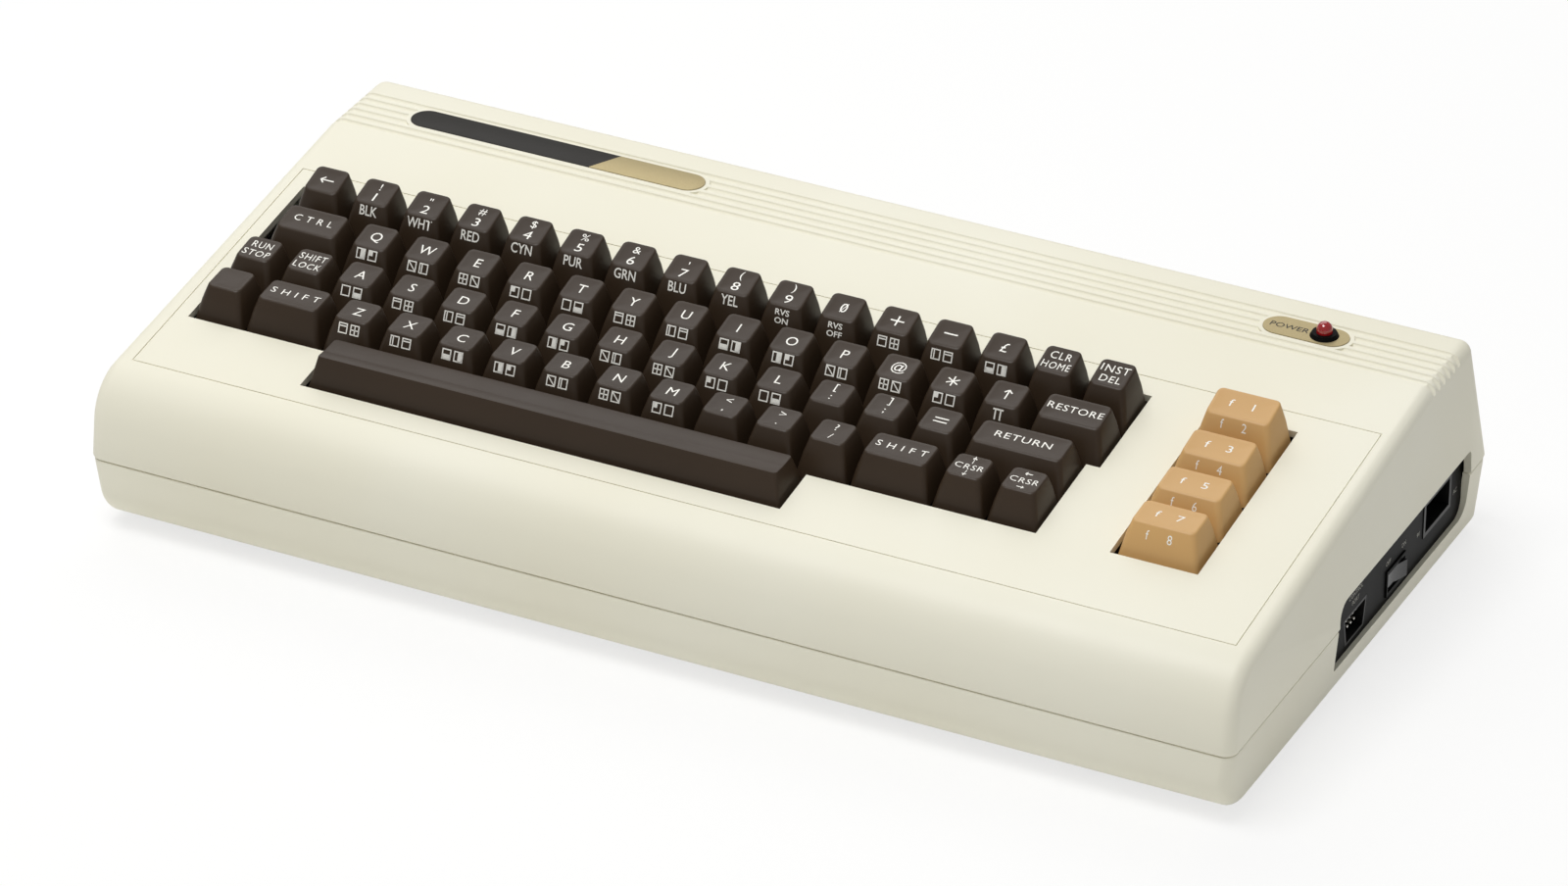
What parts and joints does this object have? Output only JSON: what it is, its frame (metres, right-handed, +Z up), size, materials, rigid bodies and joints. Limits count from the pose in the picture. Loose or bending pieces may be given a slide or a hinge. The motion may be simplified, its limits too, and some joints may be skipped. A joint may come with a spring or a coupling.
{
  "type": "vintage home computer",
  "caption": "Home computer in a two-part moulded case, with a sloping full keyboard, wide function keys, power lamp, and side and rear sockets.",
  "frame": {"origin": "on the table, under the middle of the case", "axes": "+X to the user's right, +Y away from the user, +Z up"},
  "size_m": [0.4056, 0.209, 0.0828],
  "materials": {
    "case_cream": "fine moulded texture, satin",
    "case_cream_lower": "fine moulded texture, satin",
    "badge_black": "printed aluminium plate, satin black and gold",
    "plate_gold": "printed aluminium plate, pale gold",
    "lamp_red": "clear red moulded lens",
    "bezel_black": "moulded, glossy",
    "frame_black": "moulded",
    "board_green": "solder mask over glass fibre",
    "spring_steel": "drawn wire",
    "cable_grey": "flat ribbon",
    "chip_black": "moulded epoxy",
    "sink_aluminium": "extruded, bright",
    "panel_black": "moulded, satin",
    "socket_black": "moulded",
    "rocker_black": "moulded, glossy",
    "screw_steel": "zinc plated",
    "foot_rubber": "moulded rubber",
    "key_brown": "double-shot moulding, satin",
    "key_tan": "double-shot moulding, satin"
  },
  "bodies": {
    "case": {"top_case": "case_cream", "bottom_case": "case_cream_lower", "badge": "badge_black", "lamp_plate": "plate_gold", "power_lamp": "lamp_red", "lamp_bezel": "bezel_black", "keyboard_frame": "frame_black", "keyboard_board": "board_green", "key_springs": "spring_steel", "keyboard_cable": "cable_grey", "main_board": "board_green", "board_parts": "chip_black", "heat_sink": "sink_aluminium", "side_panel": "panel_black", "control_port": "socket_black", "power_switch": "socket_black", "power_inlet": "socket_black", "cartridge_slot": "socket_black", "din_sockets": "socket_black", "screws": "screw_steel", "rubber_feet": "foot_rubber"},
    "power_rocker": {"power_rocker": "rocker_black"},
    "space_bar": {"space_bar": "key_brown"},
    "key_return": {"key_return": "key_brown"},
    "key_shift_left": {"key_shift_left": "key_brown"},
    "key_shift_right": {"key_shift_right": "key_brown"},
    "key_shift_lock": {"key_shift_lock": "key_brown"},
    "key_run_stop": {"key_run_stop": "key_brown"},
    "key_ctrl": {"key_ctrl": "key_brown"},
    "key_restore": {"key_restore": "key_brown"},
    "key_blank": {"key_blank": "key_brown"},
    "key_f1": {"key_f1": "key_tan"},
    "key_f3": {"key_f3": "key_tan"},
    "key_f5": {"key_f5": "key_tan"},
    "key_f7": {"key_f7": "key_tan"},
    "keys_arrow_1_2": {"keys_arrow_1_2": "key_brown"},
    "keys_3_4": {"keys_3_4": "key_brown"},
    "keys_5_6": {"keys_5_6": "key_brown"},
    "keys_7_8": {"keys_7_8": "key_brown"},
    "keys_9_0": {"keys_9_0": "key_brown"},
    "keys_plus_minus": {"keys_plus_minus": "key_brown"},
    "keys_pound_home_delete": {"keys_pound_home_delete": "key_brown"},
    "keys_q_w": {"keys_q_w": "key_brown"},
    "keys_e_r": {"keys_e_r": "key_brown"},
    "keys_t_y": {"keys_t_y": "key_brown"},
    "keys_u_i": {"keys_u_i": "key_brown"},
    "keys_o_p": {"keys_o_p": "key_brown"},
    "keys_at_star_up": {"keys_at_star_up": "key_brown"},
    "keys_a_s": {"keys_a_s": "key_brown"},
    "keys_d_f": {"keys_d_f": "key_brown"},
    "keys_g_h": {"keys_g_h": "key_brown"},
    "keys_j_k": {"keys_j_k": "key_brown"},
    "keys_l_colon": {"keys_l_colon": "key_brown"},
    "keys_semicolon_equals": {"keys_semicolon_equals": "key_brown"},
    "keys_z_x": {"keys_z_x": "key_brown"},
    "keys_c_v": {"keys_c_v": "key_brown"},
    "keys_b_n": {"keys_b_n": "key_brown"},
    "keys_m_comma": {"keys_m_comma": "key_brown"},
    "keys_point_slash": {"keys_point_slash": "key_brown"},
    "keys_cursor": {"keys_cursor": "key_brown"}
  },
  "joints": [
    {"name": "power_rocker_tilt", "type": "hinge", "parent": "case", "child": "power_rocker", "pos_m": [0.1968, 0.0334, 0.0181], "axis": [0, 0, 1], "range_deg": [0, 18]},
    {"name": "space_bar_press", "type": "slide", "parent": "case", "child": "space_bar", "axis": [0, 0.1357, -0.9907], "range_m": [0, 0.004], "stiffness_N_per_m": 150, "springref_m": -0.003, "deforming": ["key_springs"]},
    {"name": "key_return_press", "type": "slide", "parent": "case", "child": "key_return", "axis": [0, 0.1357, -0.9907], "range_m": [0, 0.004], "stiffness_N_per_m": 150, "springref_m": -0.003},
    {"name": "key_shift_left_press", "type": "slide", "parent": "case", "child": "key_shift_left", "axis": [0, 0.1357, -0.9907], "range_m": [0, 0.004], "stiffness_N_per_m": 150, "springref_m": -0.003},
    {"name": "key_shift_right_press", "type": "slide", "parent": "case", "child": "key_shift_right", "axis": [0, 0.1357, -0.9907], "range_m": [0, 0.004], "stiffness_N_per_m": 150, "springref_m": -0.003},
    {"name": "key_shift_lock_press", "type": "slide", "parent": "case", "child": "key_shift_lock", "axis": [0, 0.1357, -0.9907], "range_m": [0, 0.004], "stiffness_N_per_m": 150, "springref_m": -0.003},
    {"name": "key_run_stop_press", "type": "slide", "parent": "case", "child": "key_run_stop", "axis": [0, 0.1357, -0.9907], "range_m": [0, 0.004], "stiffness_N_per_m": 150, "springref_m": -0.003},
    {"name": "key_ctrl_press", "type": "slide", "parent": "case", "child": "key_ctrl", "axis": [0, 0.1357, -0.9907], "range_m": [0, 0.004], "stiffness_N_per_m": 150, "springref_m": -0.003},
    {"name": "key_restore_press", "type": "slide", "parent": "case", "child": "key_restore", "axis": [0, 0.1357, -0.9907], "range_m": [0, 0.004], "stiffness_N_per_m": 150, "springref_m": -0.003},
    {"name": "key_blank_press", "type": "slide", "parent": "case", "child": "key_blank", "axis": [0, 0.1357, -0.9907], "range_m": [0, 0.004], "stiffness_N_per_m": 150, "springref_m": -0.003},
    {"name": "key_f1_press", "type": "slide", "parent": "case", "child": "key_f1", "axis": [0, 0.1357, -0.9907], "range_m": [0, 0.004], "stiffness_N_per_m": 150, "springref_m": -0.003},
    {"name": "key_f3_press", "type": "slide", "parent": "case", "child": "key_f3", "axis": [0, 0.1357, -0.9907], "range_m": [0, 0.004], "stiffness_N_per_m": 150, "springref_m": -0.003},
    {"name": "key_f5_press", "type": "slide", "parent": "case", "child": "key_f5", "axis": [0, 0.1357, -0.9907], "range_m": [0, 0.004], "stiffness_N_per_m": 150, "springref_m": -0.003},
    {"name": "key_f7_press", "type": "slide", "parent": "case", "child": "key_f7", "axis": [0, 0.1357, -0.9907], "range_m": [0, 0.004], "stiffness_N_per_m": 150, "springref_m": -0.003},
    {"name": "keys_arrow_1_2_press", "type": "slide", "parent": "case", "child": "keys_arrow_1_2", "axis": [0, 0.1357, -0.9907], "range_m": [0, 0.004], "stiffness_N_per_m": 150, "springref_m": -0.003},
    {"name": "keys_3_4_press", "type": "slide", "parent": "case", "child": "keys_3_4", "axis": [0, 0.1357, -0.9907], "range_m": [0, 0.004], "stiffness_N_per_m": 150, "springref_m": -0.003},
    {"name": "keys_5_6_press", "type": "slide", "parent": "case", "child": "keys_5_6", "axis": [0, 0.1357, -0.9907], "range_m": [0, 0.004], "stiffness_N_per_m": 150, "springref_m": -0.003},
    {"name": "keys_7_8_press", "type": "slide", "parent": "case", "child": "keys_7_8", "axis": [0, 0.1357, -0.9907], "range_m": [0, 0.004], "stiffness_N_per_m": 150, "springref_m": -0.003},
    {"name": "keys_9_0_press", "type": "slide", "parent": "case", "child": "keys_9_0", "axis": [0, 0.1357, -0.9907], "range_m": [0, 0.004], "stiffness_N_per_m": 150, "springref_m": -0.003},
    {"name": "keys_plus_minus_press", "type": "slide", "parent": "case", "child": "keys_plus_minus", "axis": [0, 0.1357, -0.9907], "range_m": [0, 0.004], "stiffness_N_per_m": 150, "springref_m": -0.003},
    {"name": "keys_pound_home_delete_press", "type": "slide", "parent": "case", "child": "keys_pound_home_delete", "axis": [0, 0.1357, -0.9907], "range_m": [0, 0.004], "stiffness_N_per_m": 150, "springref_m": -0.003},
    {"name": "keys_q_w_press", "type": "slide", "parent": "case", "child": "keys_q_w", "axis": [0, 0.1357, -0.9907], "range_m": [0, 0.004], "stiffness_N_per_m": 150, "springref_m": -0.003},
    {"name": "keys_e_r_press", "type": "slide", "parent": "case", "child": "keys_e_r", "axis": [0, 0.1357, -0.9907], "range_m": [0, 0.004], "stiffness_N_per_m": 150, "springref_m": -0.003},
    {"name": "keys_t_y_press", "type": "slide", "parent": "case", "child": "keys_t_y", "axis": [0, 0.1357, -0.9907], "range_m": [0, 0.004], "stiffness_N_per_m": 150, "springref_m": -0.003},
    {"name": "keys_u_i_press", "type": "slide", "parent": "case", "child": "keys_u_i", "axis": [0, 0.1357, -0.9907], "range_m": [0, 0.004], "stiffness_N_per_m": 150, "springref_m": -0.003},
    {"name": "keys_o_p_press", "type": "slide", "parent": "case", "child": "keys_o_p", "axis": [0, 0.1357, -0.9907], "range_m": [0, 0.004], "stiffness_N_per_m": 150, "springref_m": -0.003},
    {"name": "keys_at_star_up_press", "type": "slide", "parent": "case", "child": "keys_at_star_up", "axis": [0, 0.1357, -0.9907], "range_m": [0, 0.004], "stiffness_N_per_m": 150, "springref_m": -0.003},
    {"name": "keys_a_s_press", "type": "slide", "parent": "case", "child": "keys_a_s", "axis": [0, 0.1357, -0.9907], "range_m": [0, 0.004], "stiffness_N_per_m": 150, "springref_m": -0.003},
    {"name": "keys_d_f_press", "type": "slide", "parent": "case", "child": "keys_d_f", "axis": [0, 0.1357, -0.9907], "range_m": [0, 0.004], "stiffness_N_per_m": 150, "springref_m": -0.003},
    {"name": "keys_g_h_press", "type": "slide", "parent": "case", "child": "keys_g_h", "axis": [0, 0.1357, -0.9907], "range_m": [0, 0.004], "stiffness_N_per_m": 150, "springref_m": -0.003},
    {"name": "keys_j_k_press", "type": "slide", "parent": "case", "child": "keys_j_k", "axis": [0, 0.1357, -0.9907], "range_m": [0, 0.004], "stiffness_N_per_m": 150, "springref_m": -0.003},
    {"name": "keys_l_colon_press", "type": "slide", "parent": "case", "child": "keys_l_colon", "axis": [0, 0.1357, -0.9907], "range_m": [0, 0.004], "stiffness_N_per_m": 150, "springref_m": -0.003},
    {"name": "keys_semicolon_equals_press", "type": "slide", "parent": "case", "child": "keys_semicolon_equals", "axis": [0, 0.1357, -0.9907], "range_m": [0, 0.004], "stiffness_N_per_m": 150, "springref_m": -0.003},
    {"name": "keys_z_x_press", "type": "slide", "parent": "case", "child": "keys_z_x", "axis": [0, 0.1357, -0.9907], "range_m": [0, 0.004], "stiffness_N_per_m": 150, "springref_m": -0.003},
    {"name": "keys_c_v_press", "type": "slide", "parent": "case", "child": "keys_c_v", "axis": [0, 0.1357, -0.9907], "range_m": [0, 0.004], "stiffness_N_per_m": 150, "springref_m": -0.003},
    {"name": "keys_b_n_press", "type": "slide", "parent": "case", "child": "keys_b_n", "axis": [0, 0.1357, -0.9907], "range_m": [0, 0.004], "stiffness_N_per_m": 150, "springref_m": -0.003},
    {"name": "keys_m_comma_press", "type": "slide", "parent": "case", "child": "keys_m_comma", "axis": [0, 0.1357, -0.9907], "range_m": [0, 0.004], "stiffness_N_per_m": 150, "springref_m": -0.003},
    {"name": "keys_point_slash_press", "type": "slide", "parent": "case", "child": "keys_point_slash", "axis": [0, 0.1357, -0.9907], "range_m": [0, 0.004], "stiffness_N_per_m": 150, "springref_m": -0.003},
    {"name": "keys_cursor_press", "type": "slide", "parent": "case", "child": "keys_cursor", "axis": [0, 0.1357, -0.9907], "range_m": [0, 0.004], "stiffness_N_per_m": 150, "springref_m": -0.003}
  ]
}
